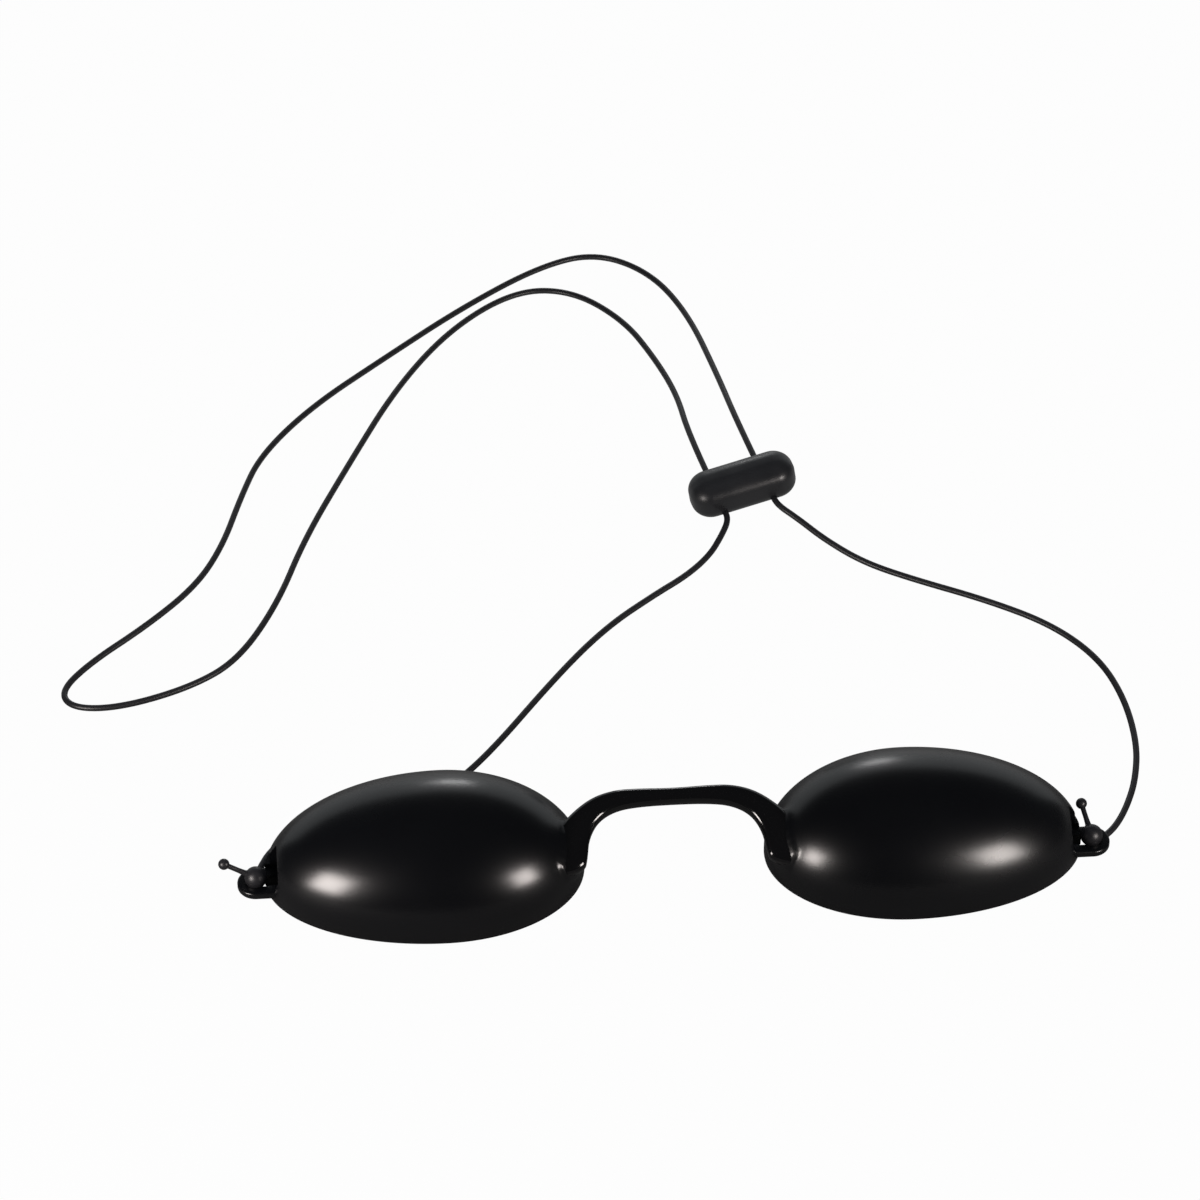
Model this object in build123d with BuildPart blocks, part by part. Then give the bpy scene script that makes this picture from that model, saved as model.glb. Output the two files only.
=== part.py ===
"""Tanning goggles: two opaque eye cups joined by a nose bridge, on one round rubber cord.

Lengths are millimetres. The goggles lie as on a table, with the open side of the cups down.
X runs across the face, from the wearer's right eye to the left, +Y points to the forehead and
+Z away from the face. The origin lies midway between the cups, on the plane of their rims.
"""
import math
import os

from build123d import *

# Eye cups
cup_spacing = 70.0          # between the widest places of the two cups
inner_reach = 21.4          # from the widest place to the cup's end at the nose
outer_reach = 26.7          # from the widest place to the cup's end at the temple
cup_half_width = 15.2
dome_rise = 13.8            # the domed part, above the straight rim
rim_height = 1.5
wall = 1.5
rim_bevel = 0.4             # on both edges of the rim's foot
crown_slope = 87.0          # degrees, where the dome's curve stops at its small flat crown
dome_levels = 8

# Lugs at the temple ends, each a flat loop that the cord comes up through
lug_projection = 4.1        # beyond the cup's end
lug_bite = 2.0              # the dome is cut back this far above the lug, and the slot reaches as far in
lug_width = 5.8
lug_thickness = 1.0
lug_underside = 1.3         # above the table, so that the cord passes below
lug_drop = 2.0              # the lug sits this much nearer the cheek than the cup's middle
lug_corner = 2.5
lug_edge_round = 0.3
slot_width = 3.2
slot_end_bar = 1.2          # what is left of the lug outside the slot's round end

# Nose bridge, an arch in a plane that leans back from the feet to the crown
crown_back = 3.7            # of the bar's middle line, towards the forehead
crown_height = 10.0         # of the bar's middle line, above the rims
bridge_lean = 25.0          # degrees, from the table
bridge_fall = 10.2          # from the crown to the feet's ends, along the lean
bar_width = 2.4             # at the crown, from where the bar widens into its legs
bar_depth = 2.7
bar_round = 0.75
# The right half of the arch's two edges, from the crown to the foot. The first of each pair is a
# share of the distance to the cups' nose ends, the second a share of the fall.
outer_edge_shares = [(0.40, -0.018), (0.66, 0.0), (0.90, 0.119), (1.145, 0.362), (1.28, 0.60), (1.45, 0.80)]
inner_edge_shares = [(0.37, 0.014), (0.62, 0.088), (0.81, 0.235), (0.935, 0.505), (0.985, 0.796),
                     (1.03, 0.893), (1.14, 0.961), (1.45, 1.0)]

# Cord and what is moulded on its ends
cord_diameter = 1.0
plug_overhang = 0.1         # of the plug's ball over the slot's edge, all round
plug_seat_gap = 0.05        # between the plug's ball and the rim of the slot
plug_underside = 2.0        # the flat under the ball that the cord ends on
tail_length = 5.4           # between the middles of the ball and of the end bead
tail_diameter = 0.8
tail_end_diameter = 1.7
left_tail_heading = 176.0   # degrees from +X
left_tail_rise = 31.0       # degrees
right_tail_heading = 101.0
right_tail_rise = 22.0

# Cord lock, one rubber bead with two bores
lock_length = 17.7
lock_depth = 7.6            # along the bores
lock_height = 6.9
lock_corner = 3.4
lock_edge_round = 2.7
lock_heading = 11.5         # degrees from +X, of its long axis
lock_tilt = 9.0             # degrees, its right-hand end tipped up
lock_middle = (18.0, 82.8, 4.45)
bore_spacing = 8.3
bore_drop = 1.8             # below the lock's middle, towards its underside
bore_clearance = 0.05       # round the cord
cord_run_before = 5.3       # straight cord in front of the bores' middles
cord_run_after = 18.0       # and behind them, where the lock slides

# Worked out from the sizes above
temple_end = cup_spacing / 2 + outer_reach
nose_end = cup_spacing / 2 - inner_reach
bitten_end = temple_end - lug_bite
hub_x = temple_end + lug_projection - slot_end_bar - slot_width / 2
hub_y = -lug_drop
lug_top = lug_underside + lug_thickness
plug_radius = slot_width / 2 + plug_overhang
plug_height = lug_top + math.sqrt((plug_radius + plug_seat_gap) ** 2 - (slot_width / 2) ** 2)
cord_radius = cord_diameter / 2

os.makedirs("parts", exist_ok=True)


def cup_outline(side, height, shrink, share):
    """One level of a cup's outline, two half ellipses that meet at the cup's widest place."""
    across = (cup_half_width - shrink) * share
    with BuildSketch(Plane.XY.offset(height)) as level:
        with BuildLine():
            for reach, start in ((outer_reach, -90 * side), (inner_reach, 90 * side)):
                EllipticalCenterArc((side * cup_spacing / 2, 0), (reach - shrink) * share, across,
                                    start_angle=start, arc_size=180)
        make_face()
    return level.sketch


def dome(side, shrink, inset):
    """A cup's whole outer form, or with shrink the hollow inside its wall.

    The rim's lowest stretch is drawn in by the inset, or flared out where it is negative.
    """
    bevel = abs(inset)
    rim_levels = [cup_outline(side, 0, shrink + inset, 1), cup_outline(side, bevel, shrink, 1)]
    slopes = [math.radians(crown_slope) * level / (dome_levels - 1) for level in range(dome_levels)]
    curved = [cup_outline(side, rim_height + (dome_rise - shrink) * math.sin(slope), shrink, math.cos(slope))
              for slope in slopes]
    with BuildPart() as form:
        add(rim_levels)
        loft(ruled=True)
        add(rim_levels[1])
        extrude(amount=rim_height - bevel)
        add(curved)
        loft()
    return form.part


def eye_cup(side):
    """One cup with its lug. The dome is cut back above the lug and walled off behind the cut."""
    outward, inward = (Align.MIN, Align.MAX) if side > 0 else (Align.MAX, Align.MIN)
    with BuildPart() as hollow:
        add(dome(side, wall, -rim_bevel))
        with BuildSketch():
            with Locations((side * (bitten_end - wall), hub_y)):
                Rectangle(lug_bite + wall, lug_width + 2 * wall, align=(outward, Align.CENTER))
        extrude(amount=rim_height + dome_rise, mode=Mode.SUBTRACT)
    with BuildPart() as lug:
        with BuildSketch(Plane.XY.offset(lug_underside)):
            with Locations((side * (temple_end + lug_projection), hub_y)):
                RectangleRounded(outer_reach + lug_projection, lug_width, lug_corner,
                                 align=(inward, Align.CENTER))
        extrude(amount=lug_thickness)
        fillet(lug.faces().filter_by(Axis.Z).edges(), lug_edge_round)
    with BuildPart() as cup:
        add(dome(side, 0, rim_bevel))
        with BuildSketch(Plane.XY.offset(lug_top)):
            with Locations((side * bitten_end, hub_y)):
                Rectangle(2 * lug_bite, lug_width, align=(outward, Align.CENTER))
        extrude(amount=rim_height + dome_rise, mode=Mode.SUBTRACT)
        add(lug)
        with BuildSketch():
            with Locations((side * hub_x, hub_y)):
                Circle(slot_width / 2)
                Rectangle(hub_x - bitten_end, slot_width, align=(inward, Align.CENTER))
        extrude(amount=lug_top, mode=Mode.SUBTRACT)
        add(hollow, mode=Mode.SUBTRACT)
    return cup


def end_plug(side, heading, tail_rise):
    """The ball on the cord's end, with its thin tail and end bead."""
    middle = Vector(side * hub_x, hub_y, plug_height)
    turn, rise = math.radians(heading), math.radians(tail_rise)
    along = Vector(math.cos(turn) * math.cos(rise), math.sin(turn) * math.cos(rise), math.sin(rise))
    sideways = Vector(-math.sin(turn), math.cos(turn), 0)
    with BuildPart() as plug:
        with BuildSketch(Plane(origin=middle, x_dir=along, z_dir=sideways)):
            Circle(plug_radius)
            with Locations((tail_length, 0)):
                Circle(tail_end_diameter / 2)
            with Locations((tail_length / 2, 0)):
                Rectangle(tail_length, tail_diameter)
            Rectangle(4 * tail_length, 2 * plug_radius, align=(Align.CENTER, Align.MIN),
                      mode=Mode.INTERSECT)
        revolve(axis=Axis(middle, along))
        split(bisect_by=Plane.XY.offset(plug_underside), keep=Keep.TOP)
    return plug


left_cup = eye_cup(-1)
left_cup.part.label = "left_cup"
export_step(left_cup.part, "parts/left_cup.step")

right_cup = eye_cup(1)
right_cup.part.label = "right_cup"
export_step(right_cup.part, "parts/right_cup.step")



def arch_edge(crown, shares):
    """Points of one edge of the arch, from the left foot to the right."""
    right_half = [(x_share * nose_end, crown - fall_share * bridge_fall) for x_share, fall_share in shares]
    return [(-x, y) for x, y in reversed(right_half)] + [(0, crown)] + right_half


# The bridge runs from inside one dome's outline to inside the other's and is cut to both.
lean = math.radians(bridge_lean)
arch_plane = Plane(origin=(0, crown_back, crown_height), x_dir=(1, 0, 0),
                   z_dir=(0, -math.sin(lean), math.cos(lean)))
domes = [dome(side, 0, rim_bevel) for side in (-1, 1)]
with BuildPart() as nose_bridge:
    with BuildSketch(arch_plane):
        with BuildLine():
            outer_edge = Spline(*arch_edge(bar_width / 2, outer_edge_shares))
            inner_edge = Spline(*arch_edge(-bar_width / 2, inner_edge_shares))
            Line(outer_edge @ 0, inner_edge @ 0)
            Line(outer_edge @ 1, inner_edge @ 1)
        make_face()
    extrude(amount=bar_depth / 2, both=True)
    flats = nose_bridge.faces().sort_by(Axis((0, 0, 0), arch_plane.z_dir))
    fillet((flats[0].edges() + flats[-1].edges()).filter_by(GeomType.BSPLINE), bar_round)
    add(domes, mode=Mode.SUBTRACT)
nose_bridge.part.label = "nose_bridge"
export_step(nose_bridge.part, "parts/nose_bridge.step")

left_cord_plug = end_plug(-1, left_tail_heading, left_tail_rise)
left_cord_plug.part.label = "left_cord_plug"
export_step(left_cord_plug.part, "parts/left_cord_plug.step")

right_cord_plug = end_plug(1, right_tail_heading, right_tail_rise)
right_cord_plug.part.label = "right_cord_plug"
export_step(right_cord_plug.part, "parts/right_cord_plug.step")

# Cord lock
lock_turn, lock_tip = math.radians(lock_heading), math.radians(lock_tilt)
lock_along = Vector(math.cos(lock_turn) * math.cos(lock_tip), math.sin(lock_turn) * math.cos(lock_tip),
                    math.sin(lock_tip))
bore_along = Vector(-math.sin(lock_turn), math.cos(lock_turn), 0)
lock_plane = Plane(origin=lock_middle, x_dir=lock_along, z_dir=lock_along.cross(bore_along))
between_bores = Vector(*lock_middle) - lock_plane.z_dir * bore_drop
left_bore = between_bores - lock_along * (bore_spacing / 2)
right_bore = between_bores + lock_along * (bore_spacing / 2)

with BuildPart() as cord_lock:
    with BuildSketch(lock_plane.offset(-lock_height / 2)):
        RectangleRounded(lock_length, lock_depth, lock_corner)
    extrude(amount=lock_height)
    ends = cord_lock.faces().sort_by(Axis(lock_middle, lock_plane.z_dir))
    fillet(ends[0].edges() + ends[-1].edges(), lock_edge_round)
    for middle in (left_bore, right_bore):
        with BuildSketch(Plane(origin=middle, z_dir=bore_along)):
            Circle(cord_radius + bore_clearance)
        extrude(amount=lock_depth, both=True, mode=Mode.SUBTRACT)
cord_lock.part.label = "cord_lock"
export_step(cord_lock.part, "parts/cord_lock.step")

# The cord's route, end to end: up out of the left lug's slot, round the back of the left cup,
# through the lock's left bore, round the long loop, back through the right bore and to the right
# lug. On the table its middle line lies one radius up.
low = cord_radius
rise_step = 0.7             # the cord turns up into the slot in two equal steps
left_hub = Vector(-hub_x, hub_y, 0)
right_hub = Vector(hub_x, hub_y, 0)
left_way_in = Vector(0.09, 0.996, 0)
right_way_in = Vector(0.76, 0.65, 0)


def tangent_radii(points, share=0.45):
    """As large an arc at each corner as its two runs allow."""
    radii = []
    for before, corner, after in zip(points, points[1:], points[2:]):
        turn = (corner - before).get_angle(after - corner)
        shorter = min((corner - before).length, (after - corner).length)
        radii.append(share * shorter / math.tan(math.radians(turn / 2)))
    return radii


def up_the_slot(hub, way_in):
    """The cord's last points, from the end face down to the table."""
    return [hub + Vector(0, 0, plug_underside), hub + Vector(0, 0, low + rise_step),
            hub + way_in * rise_step + Vector(0, 0, low)]


round_left_cup = [
    (-62.85, 0.3, low), (-62.4, 2.6, low), (-60.5, 6.6, low), (-55.4, 11.4, low), (-46.5, 15.3, low),
    (-36.5, 17.3, low), (-28.5, 23.2, low), (-14.2, 43.7, low), (-6.0, 53.9, low), (2.0, 60.9, low),
    (7.6, 65.3, low), (11.6, 69.6, 0.8), (13.9, 73.7, 1.4),
]
long_loop = [
    (9.8, 111.2, 0.9), (6.9, 121.8, low), (2.5, 132.6, low), (-5.6, 141.4, low), (-15.3, 142.3, low),
    (-26.8, 132.8, low), (-36.9, 117.3, low), (-46.1, 96.4, low), (-53.5, 78.8, low), (-58.3, 63.0, low),
    (-64.8, 50.0, low), (-72.2, 44.2, low), (-83.0, 40.2, low), (-90.6, 40.4, low), (-92.8, 44.4, low),
    (-88.2, 50.9, low), (-79.0, 59.4, low), (-71.2, 68.4, low), (-66.8, 78.0, low), (-63.6, 90.2, low),
    (-60.2, 100.6, low), (-51.5, 112.8, low), (-38.5, 125.3, low), (-25.2, 137.8, low),
    (-11.2, 148.6, low), (-1.0, 152.0, low), (8.0, 145.8, low), (13.6, 133.6, low), (17.0, 114.2, 1.9),
]
round_right_side = [
    (26.4, 75.8, 2.5), (30.5, 71.1, 1.6), (36.2, 66.0, 0.8), (43.6, 61.7, low), (55.0, 55.6, low),
    (64.4, 49.0, low), (70.6, 40.6, low), (73.2, 31.0, low), (73.6, 20.5, low), (72.1, 12.4, low),
    (69.9, 6.6, low), (67.6, 2.4, low), (65.3, 0.0, low),
]
route = (up_the_slot(left_hub, left_way_in)
         + [Vector(*p) for p in round_left_cup]
         + [left_bore - bore_along * cord_run_before, left_bore + bore_along * cord_run_after]
         + [Vector(*p) for p in long_loop]
         + [right_bore + bore_along * cord_run_after, right_bore - bore_along * cord_run_before]
         + [Vector(*p) for p in round_right_side]
         + list(reversed(up_the_slot(right_hub, right_way_in))))
radii = tangent_radii(route)
with BuildPart() as strap_cord:
    with BuildLine() as cord_line:
        FilletPolyline(*route, radius=radii)
    with BuildSketch(Plane(origin=cord_line.line @ 0, z_dir=cord_line.line % 0)):
        Circle(cord_radius)
    sweep(path=cord_line.line)
strap_cord.part.label = "strap_cord"
export_step(strap_cord.part, "parts/strap_cord.step")

print("bend radii", " ".join(f"{radius:.1f}" for radius in radii))
cord_length = sum(edge.length for edge in cord_line.edges())
print("cord length", round(cord_length, 1),
      "volume", round(strap_cord.part.volume, 2),
      "section times length", round(math.pi * cord_radius ** 2 * cord_length, 2))
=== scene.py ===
"""Tanning goggles on their cord, lying open side down on a pale table.

Lengths are metres. The cups, the bridge, the end plugs and the cord lock are modelled round the
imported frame, and the cord follows the same route as the frame's.
"""
import math

import bmesh
import bpy
from mathutils import Matrix, Vector
from mathutils.bvhtree import BVHTree


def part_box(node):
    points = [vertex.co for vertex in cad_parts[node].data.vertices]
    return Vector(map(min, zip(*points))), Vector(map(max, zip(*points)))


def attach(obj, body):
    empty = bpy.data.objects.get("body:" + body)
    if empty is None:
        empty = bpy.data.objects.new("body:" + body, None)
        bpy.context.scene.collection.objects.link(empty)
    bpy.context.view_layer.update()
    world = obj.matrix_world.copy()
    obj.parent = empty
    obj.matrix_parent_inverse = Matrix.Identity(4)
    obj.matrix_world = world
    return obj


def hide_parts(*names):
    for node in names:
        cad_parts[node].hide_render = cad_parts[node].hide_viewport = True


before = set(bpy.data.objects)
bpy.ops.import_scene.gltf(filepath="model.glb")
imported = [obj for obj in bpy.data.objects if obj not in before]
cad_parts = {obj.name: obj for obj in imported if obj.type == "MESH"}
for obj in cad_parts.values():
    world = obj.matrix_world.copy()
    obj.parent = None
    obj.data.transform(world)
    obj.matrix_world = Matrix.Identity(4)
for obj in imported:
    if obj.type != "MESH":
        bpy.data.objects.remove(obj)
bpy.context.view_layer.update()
mm = 0.001
hair = 1e-6                     # a length too small to see, for comparing places
merge_distance = 0.002 * mm

# Cups, with the sizes that their boxes in the frame don't give
widest_x = 35.0 * mm
outer_reach = 26.7 * mm
wall = 1.5 * mm
rim_height = 1.5 * mm
rim_round = 0.4 * mm
skin_depth = 0.1 * mm           # points this near the domed form are the dome's own skin
swell_share = 0.5               # of the inner reach, where a cup starts to swell to the bridge
left_low, left_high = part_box("left_cup")
inner_reach = widest_x + left_high.x
cup_half_width = left_high.y
dome_rise = left_high.z - rim_height
dome_segments, dome_rings = 240, 80
hollow_segments, hollow_rings = 96, 32
edge_steps = 4

# Lugs
hub_y = -2.0 * mm
lug_bite = 2.0 * mm             # the dome is cut back this far above the lug
slot_radius = 1.6 * mm
leg_swell = 0.55 * mm           # the legs' inner edges stand this much into the slot
slot_end_bar = 1.2 * mm
lug_half_width = 2.9 * mm
lug_low = 1.15 * mm
lug_thickness = 1.15 * mm
lug_round = 0.3 * mm
lug_root_share = 0.75           # of the wall, how deep the legs run into it
lug_steps = 48
slot_cut_inset = 0.02 * mm      # the cut between the legs is this much narrower on each side
corner_out = 1.1 * mm           # behind the lug the dome ends this far outside the cut above it,
corner_up = 0.6 * mm            # from this far above the lug
hub_x = -left_low.x - slot_end_bar - slot_radius

# Nose bridge, whose two edges are given in mm along X and up the lean, from the crown to the foot
crown_back = 3.7 * mm
crown_height = 10.0 * mm
bridge_lean = math.radians(25)
bar_depth = 2.7 * mm
bar_squareness = 2.4            # at 2 the bar's section is an ellipse
bar_section_steps = 48
outer_edge = [
    (0, 1.2), (5.4, 1.42), (9.0, 1.35), (12.5, 0.25), (15.8, -2.3), (17.4, -4.3), (18.6, -6.4), (19.6, -8.2),
]
inner_edge = [
    (0, -1.2), (5.0, -1.3), (8.6, -1.8), (11.4, -3.4), (13.0, -6.2), (13.4, -9.3), (13.9, -11.2),
    (16.5, -11.9),
]
foot_drop = 1.6 * mm            # the feet reach this much lower than the bar
drop_start_x = 12 * mm
drop_end_x = 16 * mm
foot_fillet = 0.9 * mm
fillet_start_share = 0.12       # of its radius, how near to the bar the fillet follows its round
bar_in_cup = 0.35 * mm          # the bar's feet run this far into the cups' skin
bar_cut_segments, bar_cut_rings = 160, 48

# End plugs
plug_radius = 1.7 * mm
plug_height = 3.009 * mm
plug_underside = 2.0 * mm
tail_length = 5.4 * mm
tail_radius = 0.4 * mm
tail_end_radius = 0.85 * mm
neck_length = 0.35 * mm
neck_flare = 1.08               # these two times the tail's radius
waist_least = 0.94
waist_flare = 0.1               # per share of the tail's length away from the waist
waist_share = 0.55
tail_shares = (0.35, 0.5, 0.65, 0.8)
ball_share, ball_steps = 0.9, 24                # how much of a half turn each profile takes
tail_end_share, tail_end_steps = 0.84, 16
spin_steps = 40
left_tail = (math.radians(176), math.radians(31))       # heading and rise
right_tail = (math.radians(101), math.radians(22))

# Cord lock
lock_length = 17.7 * mm
lock_depth = 7.6 * mm
lock_height = 6.9 * mm
lock_heading = math.radians(11.5)
lock_tilt = math.radians(9)
lock_middle = Vector((18.0, 82.8, 4.45)) * mm
lock_corner = 3.4 * mm
lock_edge_round = 2.7 * mm
lock_cuts = 28
bore_spacing = 8.3 * mm
bore_drop = 1.8 * mm
bore_clearance = 0.06 * mm
bore_steps = 40

# Cord, whose route is given in mm
cord_radius = 0.5 * mm
cord_run_before = 5.3 * mm      # its straight runs start this far before the middle of a bore,
cord_steady_run = 3.1 * mm      # have one more point this much further on,
cord_run_after = 18.0 * mm      # and end this far past the middle
low = 0.5                       # the height of its middle where it lies on the table
rise_step = 0.7                 # the size of its turn up into a slot
left_way_in = (0.09, 0.996, 0)  # the way to its first point away from each slot
right_way_in = (0.76, 0.65, 0)
round_left_cup = [
    (-62.85, 0.3, low), (-62.4, 2.6, low), (-60.5, 6.6, low), (-55.4, 11.4, low), (-46.5, 15.3, low),
    (-35.0, 16.9, low), (-28.1, 23.1, low), (-14.2, 43.7, low), (-6.0, 53.9, low), (2.0, 60.9, low),
    (7.6, 65.3, low), (11.6, 69.6, 0.8), (13.9, 73.7, 1.4),
]
long_loop = [
    (9.8, 111.2, 0.9), (6.9, 121.8, low), (2.5, 132.6, low), (-5.6, 141.4, low), (-15.3, 142.3, low),
    (-26.8, 132.8, low), (-36.9, 117.3, low), (-46.1, 96.4, low), (-53.5, 78.8, low), (-58.3, 63.0, low),
    (-64.8, 50.0, low), (-72.2, 44.2, low), (-83.0, 40.2, low), (-90.6, 40.4, low), (-92.8, 44.4, low),
    (-88.2, 50.9, low), (-79.0, 59.4, low), (-71.2, 68.4, low), (-66.8, 78.0, low), (-63.6, 90.2, low),
    (-60.2, 100.6, low), (-51.5, 112.8, low), (-38.5, 125.3, low), (-25.2, 137.8, low),
    (-11.2, 148.6, low), (-1.0, 152.0, low), (8.0, 145.8, low), (13.6, 133.6, low), (17.0, 114.2, 1.9),
]
round_right_side = [
    (26.4, 75.8, 2.5), (30.5, 71.1, 1.6), (36.2, 66.0, 0.8), (43.6, 61.7, low), (55.0, 55.6, low),
    (64.4, 49.0, low), (70.6, 40.6, low), (73.2, 31.0, low), (73.6, 20.5, low), (72.1, 12.4, low),
    (69.9, 6.6, low), (67.6, 2.4, low), (65.3, 0.0, low),
]

# Surfaces
noise_low, noise_high = 0.3, 0.7                # between them lies nearly all of a noise texture
grain_height = 0.05 * mm

# Table, lamps, room and camera
table_size = 3.0
table_place = (0, 0.2, 0)
table_shade = 0.14
glow_to_camera = 0.98
glow_in_mirrors = 0.4           # at the back of the table, fading out towards the front
mirror_fade_from_y, mirror_fade_to_y = -0.18, -0.08
cups_front = (0, -0.009, 0.008)
cups_top = (0, 0, 0.01)
cord_middle = (0, 0.05, 0)
room_light = 0.03
camera_target = Vector((-6.8, 60.81, 0)) * mm
camera_distance = 0.8
camera_azimuth = math.radians(-4.17)
camera_elevation = math.radians(41)
camera_lens = 150
camera_sensor = 36


# Small helpers for modelling

def pick(obj):
    """Selects the piece alone and makes it the active one."""
    bpy.ops.object.select_all(action="DESELECT")
    obj.select_set(True)
    bpy.context.view_layer.objects.active = obj


def start_editing(obj):
    pick(obj)
    bpy.ops.object.mode_set(mode="EDIT")


def stop_editing():
    bpy.ops.object.mode_set(mode="OBJECT")


def select_where(obj, test, kind="VERT"):
    """Selects the vertices that pass the test, or the edges whose two ends do, and nothing else."""
    bpy.ops.mesh.select_mode(type=kind)
    bpy.ops.mesh.select_all(action="DESELECT")
    mesh = bmesh.from_edit_mesh(obj.data)
    if kind == "VERT":
        for vertex in mesh.verts:
            vertex.select_set(test(vertex.co))
    else:
        for edge in mesh.edges:
            if all(test(vertex.co) for vertex in edge.verts):
                edge.select_set(True)
    mesh.select_flush_mode()
    bmesh.update_edit_mesh(obj.data)


def new_piece(name):
    """Names the primitive that was just added, and puts its place in its mesh."""
    bpy.ops.object.transform_apply(location=True, rotation=True, scale=True)
    obj = bpy.context.object
    obj.name = obj.data.name = name
    return obj


def link_object(name, data):
    """An object for that mesh, curve, lamp or camera."""
    obj = bpy.data.objects.new(name, data)
    bpy.context.scene.collection.objects.link(obj)
    return obj


def cut_or_join(obj, other, operation):
    """Cuts the other piece away from the first, or joins it on, and removes the other."""
    pick(obj)
    modifier = obj.modifiers.new("boolean", "BOOLEAN")
    modifier.operation = operation
    modifier.object = other
    modifier.solver = "EXACT"
    bpy.ops.object.modifier_apply(modifier=modifier.name)
    bpy.data.objects.remove(other, do_unlink=True)


def face_outwards(obj):
    start_editing(obj)
    bpy.ops.mesh.select_all(action="SELECT")
    bpy.ops.mesh.remove_doubles(threshold=merge_distance)
    bpy.ops.mesh.normals_make_consistent(inside=False)
    stop_editing()


def smooth(obj, angle=40):
    pick(obj)
    bpy.ops.object.shade_smooth_by_angle(angle=math.radians(angle))


def spline_points(name, points):
    """The points along a smooth line that the given points control."""
    data = bpy.data.curves.new(name, "CURVE")
    data.dimensions = "3D"
    data.resolution_u = 24
    spline = data.splines.new("NURBS")
    spline.points.add(len(points) - 1)
    for point, place in zip(spline.points, points):
        point.co = (*place, 1)
    spline.order_u = 3
    spline.use_endpoint_u = True
    holder = bpy.data.objects.new(name, data)
    mesh = bpy.data.meshes.new_from_object(holder)
    line = [v.co.copy() for v in mesh.vertices]
    bpy.data.objects.remove(holder)
    bpy.data.curves.remove(data)
    bpy.data.meshes.remove(mesh)
    return line


# Nose bridge

def bridge_edge(name, right_half):
    """One edge of the arch as a smooth line, from the left foot to the right."""
    up_the_lean = Vector((0, math.cos(bridge_lean), math.sin(bridge_lean)))
    crown = Vector((0, crown_back, crown_height))
    right = [crown + Vector((x * mm, 0, 0)) + up_the_lean * fall * mm for x, fall in right_half]
    left = [Vector((-p.x, p.y, p.z)) for p in reversed(right[1:])]
    return spline_points(name, left + right)


def make_bar():
    """The arched bar, a rounded section carried along between its two edges."""
    upright = Vector((0, -math.sin(bridge_lean), math.cos(bridge_lean)))
    mesh = bmesh.new()
    rings = []
    for outer, inner in zip(bridge_edge("outer", outer_edge), bridge_edge("inner", inner_edge)):
        middle, half = (outer + inner) / 2, (outer - inner) / 2
        down_the_foot = (abs(middle.x) - drop_start_x) / (drop_end_x - drop_start_x)
        drop = foot_drop * min(1, max(0, down_the_foot)) ** 2
        ring = []
        for step in range(bar_section_steps):
            turn = 2 * math.pi * step / bar_section_steps
            c, s = math.cos(turn), math.sin(turn)
            across = math.copysign(abs(c) ** (2 / bar_squareness), c)
            over = math.copysign(abs(s) ** (2 / bar_squareness), s)
            lift = over * (bar_depth / 2 + (drop if over < 0 else 0))
            ring.append(mesh.verts.new(middle + half * across + upright * lift))
        rings.append(ring)
    for first, second in zip(rings, rings[1:]):
        for k in range(bar_section_steps):
            mesh.faces.new((first[k], first[k - 1], second[k - 1], second[k]))
    mesh.faces.new(rings[0])
    mesh.faces.new(list(reversed(rings[-1])))
    data = bpy.data.meshes.new("nose_bridge_bar")
    mesh.to_mesh(data)
    mesh.free()
    obj = link_object("nose_bridge_bar", data)
    face_outwards(obj)
    return obj


def fillet_rise(gap, radius):
    """How far a skin rises towards a neighbour at that gap, on a round fillet."""
    if gap >= radius:
        return 0
    inside = max(gap, fillet_start_share * radius)
    return radius - math.sqrt(radius ** 2 - (radius - inside) ** 2)


def dome_gap(point, side):
    """About how far a point lies outside a cup's dome."""
    x = point.x - side * widest_x
    reach = outer_reach if x * side > 0 else inner_reach
    z = max(point.z - rim_height, 0)
    spread = Vector((x / reach, point.y / cup_half_width, z / dome_rise))
    slope = Vector((x / reach ** 2, point.y / cup_half_width ** 2, z / dome_rise ** 2))
    return (spread.length_squared - 1) / (2 * slope.length)


# Eye cups

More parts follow.
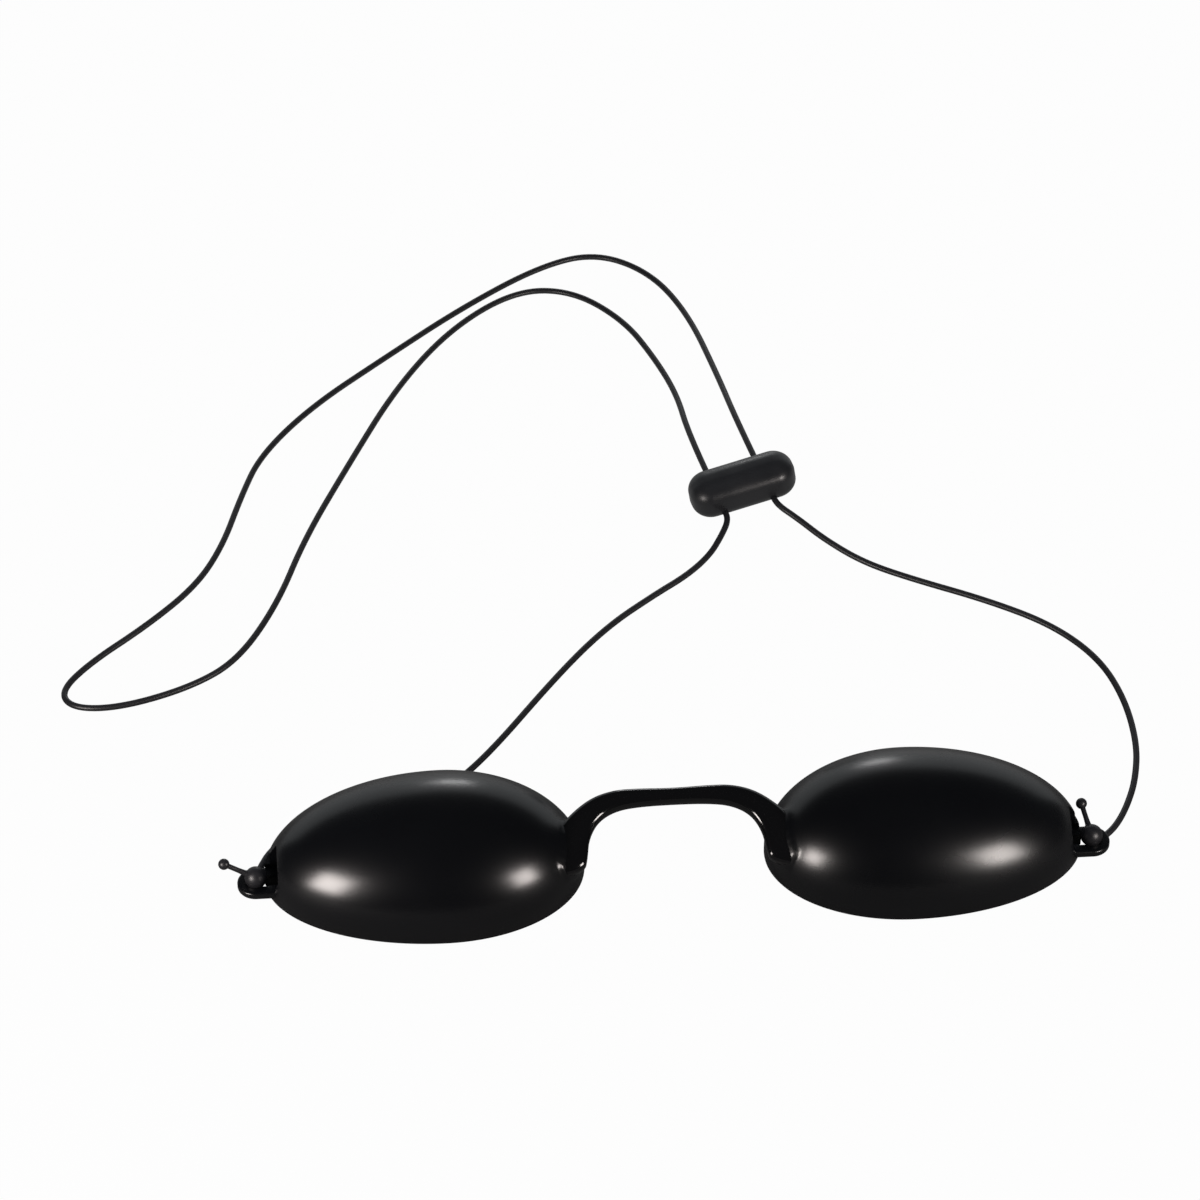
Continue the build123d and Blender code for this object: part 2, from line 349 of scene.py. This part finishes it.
def add_dome(name, side, shrink=0.0, segments=dome_segments, rings=dome_rings, hollow=False):
    """The cup's whole domed form, half a ball stretched more towards the temple, or the hollow in it."""
    bpy.ops.object.select_all(action="DESELECT")
    bpy.ops.mesh.primitive_uv_sphere_add(segments=segments, ring_count=rings, radius=1)
    obj = new_piece(name)
    start_editing(obj)
    select_where(obj, lambda co: co.z < -hair)
    bpy.ops.mesh.delete(type="VERT")
    for way, reach in ((side, outer_reach), (-side, inner_reach)):
        select_where(obj, lambda co: co.x * way > hair)
        bpy.ops.transform.resize(value=(reach - shrink, 1, 1), center_override=(0, 0, 0))
    bpy.ops.mesh.select_all(action="SELECT")
    width_and_rise = (cup_half_width - shrink, dome_rise - shrink)
    bpy.ops.transform.resize(value=(1, *width_and_rise), center_override=(0, 0, 0))
    bpy.ops.transform.translate(value=(side * widest_x, 0, rim_height))
    select_where(obj, lambda co: co.z < rim_height + hair, kind="EDGE")
    if hollow:
        bpy.ops.mesh.extrude_edges_move(TRANSFORM_OT_translate={"value": (0, 0, rim_round - rim_height)})
        bpy.ops.mesh.extrude_edges_move(TRANSFORM_OT_translate={"value": (0, 0, -rim_round)})
        flare = 1 + rim_round / (cup_half_width - shrink)
        bpy.ops.transform.resize(value=(flare, flare, 1), center_override=(side * widest_x, 0, 0))
        bpy.ops.mesh.extrude_edges_move(TRANSFORM_OT_translate={"value": (0, 0, -wall)})
        bpy.ops.mesh.edge_face_add()
    else:
        bpy.ops.mesh.extrude_edges_move(TRANSFORM_OT_translate={"value": (0, 0, -rim_height)})
        bpy.ops.mesh.edge_face_add()
        bpy.ops.mesh.bevel(offset=rim_round, segments=edge_steps)
    stop_editing()
    face_outwards(obj)
    return obj


def add_block(side, x_range, half_width, z_range, middle_y=hub_y):
    """A plain block, for cutting with."""
    bpy.ops.object.select_all(action="DESELECT")
    bpy.ops.mesh.primitive_cube_add(
        size=1, location=(side * sum(x_range) / 2, middle_y, sum(z_range) / 2),
        scale=(x_range[1] - x_range[0], 2 * half_width, z_range[1] - z_range[0]))
    return new_piece("block")


def add_lug(side):
    """A flat loop, half a ring with two legs that run into the cup's wall."""
    hub = (side * hub_x, hub_y, lug_low)
    hole = slot_radius - leg_swell
    bpy.ops.object.select_all(action="DESELECT")
    bpy.ops.mesh.primitive_circle_add(vertices=lug_steps * 2, radius=hole, location=hub)
    obj = new_piece("lug")
    start_editing(obj)
    select_where(obj, lambda co: co.x * side < hub_x - hair)
    bpy.ops.mesh.delete(type="VERT")
    bpy.ops.mesh.select_mode(type="EDGE")
    bpy.ops.mesh.select_all(action="SELECT")
    bpy.ops.mesh.extrude_edges_move(TRANSFORM_OT_translate={"value": (0, 0, 0)})
    grow = ((slot_radius + slot_end_bar) / hole, lug_half_width / hole, 1)
    bpy.ops.transform.resize(value=grow, center_override=hub)
    select_where(obj, lambda co: abs(co.x * side - hub_x) < hair, kind="EDGE")
    leg = hub_x - (widest_x + outer_reach - lug_bite - lug_root_share * wall)
    bpy.ops.mesh.extrude_edges_move(TRANSFORM_OT_translate={"value": (-side * leg, 0, 0)})
    bpy.ops.mesh.select_all(action="SELECT")
    bpy.ops.mesh.select_mode(type="FACE")
    bpy.ops.mesh.extrude_region_move(TRANSFORM_OT_translate={"value": (0, 0, lug_thickness)})
    stop_editing()
    face_outwards(obj)
    start_editing(obj)
    bpy.ops.mesh.select_mode(type="EDGE")
    bpy.ops.mesh.select_all(action="DESELECT")
    bpy.ops.mesh.edges_select_sharp(sharpness=math.radians(60))
    bpy.ops.mesh.bevel(offset=lug_round, segments=edge_steps)
    stop_editing()
    return obj


def swell_to_the_bridge(obj, side, bar_tree):
    """Raises the dome's skin round the bridge's foot, as a moulded fillet does."""
    for vertex in obj.data.vertices:
        on_inner_side = vertex.co.x * side < widest_x - swell_share * inner_reach
        if on_inner_side and abs(dome_gap(vertex.co, side)) < skin_depth:
            place, normal, _, gap = bar_tree.find_nearest(vertex.co)
            if (vertex.co - place).dot(normal) < 0:
                gap = 0
            vertex.co += vertex.normal * fillet_rise(gap, foot_fillet)


def make_cup(name, side, bar_tree):
    """The dome, swelled towards the bridge, with its lug, the cuts above the lug and the hollow."""
    obj = add_dome(name, side)
    swell_to_the_bridge(obj, side, bar_tree)
    bitten_end = widest_x + outer_reach - lug_bite
    far, high, deep = hub_x + 2 * lug_bite, 2 * dome_rise, -wall
    lug_top = lug_low + lug_thickness
    above_lug = add_block(side, (bitten_end, far), lug_half_width, (lug_top, high))
    cut_or_join(obj, above_lug, "DIFFERENCE")
    between_legs = add_block(side, (bitten_end, hub_x), slot_radius - leg_swell - slot_cut_inset,
                             (deep, high))
    cut_or_join(obj, between_legs, "DIFFERENCE")
    behind_lug = add_block(side, (bitten_end + corner_out, far), cup_half_width, (lug_top + corner_up, high),
                           hub_y + cup_half_width)
    cut_or_join(obj, behind_lug, "DIFFERENCE")
    cut_or_join(obj, add_lug(side), "UNION")
    hollow = add_dome("hollow", side, wall, hollow_segments, hollow_rings, hollow=True)
    end_wall = add_block(side, (bitten_end - wall, far), lug_half_width + wall, (2 * deep, high))
    cut_or_join(hollow, end_wall, "DIFFERENCE")
    cut_or_join(obj, hollow, "DIFFERENCE")
    smooth(obj)
    return obj


bar = make_bar()
bar_mesh = bmesh.new()
bar_mesh.from_mesh(bar.data)
bar_tree = BVHTree.FromBMesh(bar_mesh)
bar_mesh.free()
left_cup = make_cup("left_cup_shell", -1, bar_tree)
right_cup = make_cup("right_cup_shell", 1, bar_tree)
for side in (-1, 1):
    cut_or_join(bar, add_dome("block", side, bar_in_cup, bar_cut_segments, bar_cut_rings), "DIFFERENCE")
smooth(bar)


# Cord lock

lock_along = Vector((math.cos(lock_heading) * math.cos(lock_tilt),
                     math.sin(lock_heading) * math.cos(lock_tilt), math.sin(lock_tilt)))
bore_along = Vector((-math.sin(lock_heading), math.cos(lock_heading), 0))
lock_upright = lock_along.cross(bore_along)
lock_turn = Matrix((lock_along, bore_along, lock_upright)).transposed().to_4x4()
between_bores = lock_middle - lock_upright * bore_drop
left_bore = between_bores - lock_along * bore_spacing / 2
right_bore = between_bores + lock_along * bore_spacing / 2


def make_lock():
    """A rounded rubber bead, a ball whose eighths are moved apart, with two bores right through."""
    bpy.ops.object.select_all(action="DESELECT")
    bpy.ops.mesh.primitive_cube_add(size=2)
    obj = new_piece("cord_lock_bead")
    start_editing(obj)
    bpy.ops.mesh.subdivide(number_cuts=lock_cuts)
    stop_editing()
    rounds = (lock_corner, lock_corner, lock_edge_round)
    halves = (lock_length / 2, lock_depth / 2, lock_height / 2)
    for vertex in obj.data.vertices:
        ball = vertex.co.normalized()
        vertex.co = [c * r + math.copysign(half - r, c) for c, r, half in zip(ball, rounds, halves)]
    obj.data.transform(Matrix.Translation(lock_middle) @ lock_turn)
    for middle in (left_bore, right_bore):
        bpy.ops.object.select_all(action="DESELECT")
        bpy.ops.mesh.primitive_cylinder_add(
            vertices=bore_steps, radius=cord_radius + bore_clearance, depth=2 * lock_depth)
        bore = new_piece("bore")
        bore.data.transform(Matrix.Translation(middle) @ lock_turn @ Matrix.Rotation(math.pi / 2, 4, "X"))
        cut_or_join(obj, bore, "DIFFERENCE")
    smooth(obj)
    return obj


# End plugs

def plug_profile():
    """Ball, neck, tail and end bead, as distances along the tail's line and out from it."""
    profile = []
    for step in range(ball_steps + 1):
        turn = math.pi * (1 - step / ball_steps * ball_share)
        profile.append((math.cos(turn) * plug_radius, math.sin(turn) * plug_radius))
    neck = profile[-1][0]
    profile.append((neck + neck_length, tail_radius * neck_flare))
    for share in tail_shares:
        thinness = waist_least + waist_flare * abs(share - waist_share)
        profile.append((neck + (tail_length - neck) * share, tail_radius * thinness))
    for step in range(tail_end_steps + 1):
        turn = math.pi * (tail_end_share - step / tail_end_steps * tail_end_share)
        profile.append((tail_length + math.cos(turn) * tail_end_radius, math.sin(turn) * tail_end_radius))
    return profile


def make_plug(name, side, heading, rise):
    """The profile spun about the tail's line, turned to its place and cut level where it sits on the lug."""
    data = bpy.data.meshes.new(name)
    places = [(x, max(r, 0), 0) for x, r in plug_profile()]
    data.from_pydata(places, [(i, i + 1) for i in range(len(places) - 1)], [])
    obj = link_object(name, data)
    start_editing(obj)
    bpy.ops.mesh.select_all(action="SELECT")
    bpy.ops.mesh.spin(steps=spin_steps, angle=2 * math.pi, center=(0, 0, 0), axis=(1, 0, 0))
    stop_editing()
    face_outwards(obj)
    along = Vector((math.cos(heading) * math.cos(rise), math.sin(heading) * math.cos(rise), math.sin(rise)))
    sideways = Vector((-math.sin(heading), math.cos(heading), 0))
    turn = Matrix((along, sideways, along.cross(sideways))).transposed().to_4x4()
    obj.data.transform(Matrix.Translation((side * hub_x, hub_y, plug_height)) @ turn)
    start_editing(obj)
    bpy.ops.mesh.select_all(action="SELECT")
    bpy.ops.mesh.bisect(
        plane_co=(0, 0, plug_underside), plane_no=(0, 0, 1), clear_inner=True, use_fill=True)
    stop_editing()
    smooth(obj)
    return obj


# Cord

def up_the_slot(side, way_in):
    """From a plug's underside down through the lug's slot and out along the table."""
    hub = Vector((side * hub_x, hub_y, 0)) / mm
    return [hub + Vector((0, 0, plug_underside / mm)), hub + Vector((0, 0, low + rise_step)),
            hub + Vector(way_in) * rise_step + Vector((0, 0, low))]


def through(bore):
    """The straight run along a bore, from the goggles' side to the loop's side."""
    start = -cord_run_before
    return [(bore + bore_along * s) / mm for s in (start, start + cord_steady_run, cord_run_after)]


def make_cord():
    """One round cord along the whole route, from the left lug to the right one."""
    route = [
        *up_the_slot(-1, left_way_in), *round_left_cup, *through(left_bore), *long_loop,
        *reversed(through(right_bore)), *round_right_side, *reversed(up_the_slot(1, right_way_in)),
    ]
    data = bpy.data.curves.new("strap_cord_line", "CURVE")
    data.dimensions = "3D"
    data.resolution_u = 10
    data.bevel_depth = cord_radius
    data.bevel_resolution = 6
    data.use_fill_caps = True
    spline = data.splines.new("NURBS")
    spline.points.add(len(route) - 1)
    for point, place in zip(spline.points, route):
        point.co = (*(Vector(place) * mm), 1)
    spline.order_u = 3
    spline.use_endpoint_u = True
    return link_object("strap_cord_rubber", data)


lock = make_lock()
left_plug = make_plug("left_plug_rubber", -1, *left_tail)
right_plug = make_plug("right_plug_rubber", 1, *right_tail)
cord = make_cord()


# Materials

def shader(name, color, roughness, bump=0.0, bump_scale=800.0, rough_spread=0.0, rough_scale=60.0,
           shade_spread=0.0, shade_scale=120.0):
    """A moulded surface with a fine grain, uneven gloss and a slight unevenness of colour."""
    material = bpy.data.materials.new(name)
    material.use_nodes = True
    nodes, links = material.node_tree.nodes, material.node_tree.links
    surface = nodes["Principled BSDF"]
    surface.inputs["Base Color"].default_value = (*color, 1)
    surface.inputs["Roughness"].default_value = roughness
    place = nodes.new("ShaderNodeTexCoord")

    def noise(scale, detail):
        texture = nodes.new("ShaderNodeTexNoise")
        texture.inputs["Scale"].default_value = scale
        texture.inputs["Detail"].default_value = detail
        links.new(place.outputs["Object"], texture.inputs["Vector"])
        return texture.outputs["Fac"]

    if rough_spread:
        spread = nodes.new("ShaderNodeMapRange")
        spread.inputs["From Min"].default_value = noise_low
        spread.inputs["From Max"].default_value = noise_high
        spread.inputs["To Min"].default_value = roughness - rough_spread
        spread.inputs["To Max"].default_value = roughness + rough_spread
        links.new(noise(rough_scale, detail=4), spread.inputs["Value"])
        links.new(spread.outputs["Result"], surface.inputs["Roughness"])
    if shade_spread:
        shades = nodes.new("ShaderNodeMix")
        shades.data_type = "RGBA"
        shades.inputs["A"].default_value = (*(c * (1 - shade_spread) for c in color), 1)
        shades.inputs["B"].default_value = (*(c * (1 + shade_spread) for c in color), 1)
        links.new(noise(shade_scale, detail=5), shades.inputs["Factor"])
        links.new(shades.outputs["Result"], surface.inputs["Base Color"])
    if bump:
        raise_grain = nodes.new("ShaderNodeBump")
        raise_grain.inputs["Strength"].default_value = bump
        raise_grain.inputs["Distance"].default_value = grain_height
        links.new(noise(bump_scale, detail=3), raise_grain.inputs["Height"])
        links.new(raise_grain.outputs["Normal"], surface.inputs["Normal"])
    return material


shell_black = shader("moulded_black_shell", (0.0017, 0.0019, 0.0026), roughness=0.26, bump=0.03,
                     rough_spread=0.02, shade_spread=0.12)
bridge_black = shader("moulded_black_bridge", (0.003, 0.003, 0.0034), roughness=0.12, bump=0.02,
                      rough_spread=0.03, shade_spread=0.12)
cord_black = shader("extruded_black_rubber", (0.012, 0.012, 0.014), roughness=0.42, bump=0.15,
                    bump_scale=2500, rough_spread=0.06, shade_spread=0.2, shade_scale=300)
plug_black = shader("moulded_black_rubber", (0.010, 0.010, 0.012), roughness=0.4, bump=0.12,
                    bump_scale=1800, rough_spread=0.06, shade_spread=0.2)
lock_grey = shader("matte_grey_rubber", (0.013, 0.0135, 0.0155), roughness=0.34, bump=0.18, bump_scale=900,
                   rough_spread=0.07, rough_scale=220, shade_spread=0.25, shade_scale=260)

for piece, material, slot, node, body in (
        (left_cup, shell_black, "shell", "left_cup", "goggles"),
        (right_cup, shell_black, "shell", "right_cup", "goggles"),
        (bar, bridge_black, "bridge", "nose_bridge", "goggles"),
        (cord, cord_black, "cord", "strap_cord", "goggles"),
        (lock, lock_grey, "lock", "cord_lock", "lock"),
        (left_plug, plug_black, "plug", "left_cord_plug", "left_plug"),
        (right_plug, plug_black, "plug", "right_cord_plug", "right_plug")):
    piece.data.materials.clear()
    piece.data.materials.append(material)
    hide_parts(node)
    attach(piece, body)


# Table, lamps, room and camera

def table_material():
    """White to the camera, aglow where the goggles mirror its back, and a lit grey otherwise."""
    material = bpy.data.materials.new("pale_table")
    material.use_nodes = True
    nodes, links = material.node_tree.nodes, material.node_tree.links
    nodes.clear()
    lit = nodes.new("ShaderNodeBsdfDiffuse")
    lit.inputs["Color"].default_value = (table_shade, table_shade, table_shade, 1)
    white = nodes.new("ShaderNodeEmission")
    white.inputs["Strength"].default_value = 1.0
    rays = nodes.new("ShaderNodeLightPath")
    seen = nodes.new("ShaderNodeMath")
    seen.operation = "MULTIPLY"
    seen.inputs[1].default_value = glow_to_camera
    place = nodes.new("ShaderNodeTexCoord")
    across = nodes.new("ShaderNodeSeparateXYZ")
    behind = nodes.new("ShaderNodeMapRange")
    behind.interpolation_type = "SMOOTHSTEP"
    behind.inputs["From Min"].default_value = mirror_fade_from_y
    behind.inputs["From Max"].default_value = mirror_fade_to_y
    behind.inputs["To Max"].default_value = glow_in_mirrors
    mirrored = nodes.new("ShaderNodeMath")
    mirrored.operation = "MULTIPLY"
    share = nodes.new("ShaderNodeMath")
    share.operation = "ADD"
    mix = nodes.new("ShaderNodeMixShader")
    out = nodes.new("ShaderNodeOutputMaterial")
    links.new(place.outputs["Object"], across.inputs["Vector"])
    links.new(across.outputs["Y"], behind.inputs["Value"])
    links.new(behind.outputs["Result"], mirrored.inputs[0])
    links.new(rays.outputs["Is Glossy Ray"], mirrored.inputs[1])
    links.new(rays.outputs["Is Camera Ray"], seen.inputs[0])
    links.new(seen.outputs["Value"], share.inputs[0])
    links.new(mirrored.outputs["Value"], share.inputs[1])
    links.new(share.outputs["Value"], mix.inputs["Fac"])
    links.new(lit.outputs["BSDF"], mix.inputs[1])
    links.new(white.outputs["Emission"], mix.inputs[2])
    links.new(mix.outputs["Shader"], out.inputs["Surface"])
    return material


def add_softbox(name, place, aim, size, radiance, tall=None, glossy=True, color=(1.0, 0.93, 0.89)):
    """A square or oblong lamp that faces a point, with its brightness given as what a mirror shows."""
    tall = tall or size
    data = bpy.data.lights.new(name, "AREA")
    data.shape = "RECTANGLE"
    data.size, data.size_y = size, tall
    data.energy = radiance * math.pi * size * tall
    data.color = color
    obj = link_object(name, data)
    obj.location = place
    obj.rotation_mode = "QUATERNION"
    obj.rotation_quaternion = (Vector(aim) - Vector(place)).to_track_quat("-Z", "Y")
    obj.visible_camera = False
    obj.visible_glossy = glossy


def make_room():
    """A dim room for the goggles, which the camera sees as plain white."""
    world = bpy.data.worlds.new("room")
    bpy.context.scene.world = world
    world.use_nodes = True
    nodes, links = world.node_tree.nodes, world.node_tree.links
    room = nodes["Background"]
    room.inputs["Color"].default_value = (0.92, 0.97, 1.0, 1)
    room.inputs["Strength"].default_value = room_light
    backdrop = nodes.new("ShaderNodeBackground")
    backdrop.inputs["Strength"].default_value = 1.0
    rays = nodes.new("ShaderNodeLightPath")
    choice = nodes.new("ShaderNodeMixShader")
    links.new(rays.outputs["Is Camera Ray"], choice.inputs["Fac"])
    links.new(room.outputs["Background"], choice.inputs[1])
    links.new(backdrop.outputs["Background"], choice.inputs[2])
    links.new(choice.outputs["Shader"], nodes["World Output"].inputs["Surface"])


bpy.ops.mesh.primitive_plane_add(size=table_size, location=table_place)
table = bpy.context.object
table.name = "table"
table.data.materials.append(table_material())

add_softbox("left_lamp", (-0.155, -0.084, 0.060), cups_front, size=0.055, radiance=26.0)
add_softbox("right_lamp", (0.203, -0.168, 0.102), cups_front, size=0.085, radiance=22.0)
add_softbox("back_panel", (0, 0.9, 0.26), cups_top, size=2.2, radiance=0.5, tall=0.5,
            color=(0.94, 0.98, 1.0))
add_softbox("back_window", (0.02, 0.6, 0.15), cups_top, size=0.09, radiance=9.0, tall=0.05,
            color=(1, 1, 1))
add_softbox("overhead_lamp", (0, 0.1, 0.9), cord_middle, size=0.8, radiance=2.2, glossy=False,
            color=(0.96, 0.98, 1.0))
make_room()

back = Vector((math.sin(camera_azimuth) * math.cos(camera_elevation),
               -math.cos(camera_azimuth) * math.cos(camera_elevation), math.sin(camera_elevation)))
camera_data = bpy.data.cameras.new("camera")
camera_data.sensor_width = camera_sensor
camera_data.lens = camera_lens
camera = link_object("camera", camera_data)
camera.location = camera_target + back * camera_distance
camera.rotation_mode = "QUATERNION"
camera.rotation_quaternion = (-back).to_track_quat("-Z", "Y")
bpy.context.scene.camera = camera
bpy.context.scene.view_settings.view_transform = "Standard"
